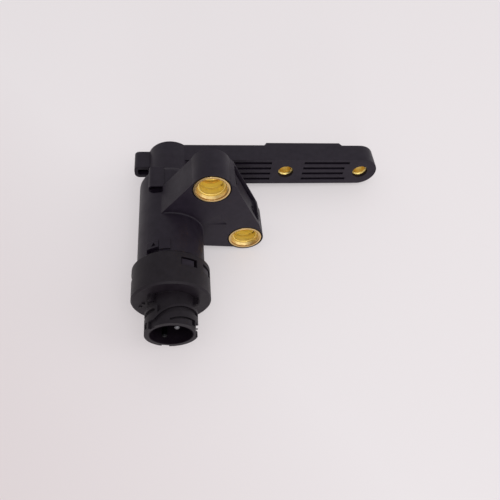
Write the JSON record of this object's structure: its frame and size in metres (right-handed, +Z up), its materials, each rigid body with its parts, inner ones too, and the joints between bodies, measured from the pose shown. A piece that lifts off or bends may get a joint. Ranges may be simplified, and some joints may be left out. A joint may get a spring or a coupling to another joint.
{
  "type": "diverter valve",
  "caption": "Electrically switched air diverter valve: round barrel with a twist-lock plug socket, push-in brass ports on a side flange and a long bolt-on arm with brass bushes.",
  "frame": {"origin": "where the valve's long axis meets the plane of the arm's rear face", "axes": "+X along the arm towards its far end, -Y along the valve's axis towards the plug socket, +Z up through the upper port's side of the barrel"},
  "size_m": [0.1394, 0.1128, 0.0615],
  "materials": {
    "housing_plastic": "satin moulded black",
    "cap_plastic": "satin moulded black",
    "inner_plastic": "moulded",
    "brass": "turned, bright",
    "bright_brass": "turned and polished",
    "spring_brass": "rolled, bright",
    "rubber": "moulded",
    "amber_rubber": "moulded, translucent amber",
    "steel": "turned",
    "copper_wire": "enamelled wire",
    "lead_strip": "tinned strip",
    "suppressor_body": "moulded",
    "pin_plating": "tin plated",
    "felt": "pressed felt"
  },
  "bodies": {
    "valve": {"valve_housing": "housing_plastic", "connector_cap": "cap_plastic", "valve_insert": "inner_plastic", "contact_carrier": "inner_plastic", "coil_bobbin": "inner_plastic", "inner_arm_bush": "brass", "outer_arm_bush": "brass", "supply_seat": "brass", "upper_port_socket": "bright_brass", "lower_port_socket": "bright_brass", "upper_port_clip": "spring_brass", "lower_port_clip": "spring_brass", "rear_insert_seal": "rubber", "middle_insert_seal": "rubber", "front_insert_seal": "rubber", "pole_seal": "rubber", "cap_seal": "rubber", "upper_port_seal": "amber_rubber", "lower_port_seal": "amber_rubber", "supply_screen": "steel", "return_spring": "steel", "pole_piece": "steel", "guide_tube": "steel", "yoke_can": "steel", "yoke_washer": "steel", "coil_winding": "copper_wire", "coil_leads": "lead_strip", "suppressor": "suppressor_body", "contact_pins": "pin_plating", "exhaust_filter": "felt"},
    "plunger": {"armature": "steel", "push_rod": "steel", "poppet": "rubber", "poppet_stem": "brass", "spring_cup": "steel"}
  },
  "joints": [
    {"name": "plunger_slide", "type": "slide", "parent": "valve", "child": "plunger", "axis": [0, 1, 0], "range_m": [0, 0.0012], "stiffness_N_per_m": 1500, "springref_m": -0.004, "deforming": ["return_spring"]}
  ]
}
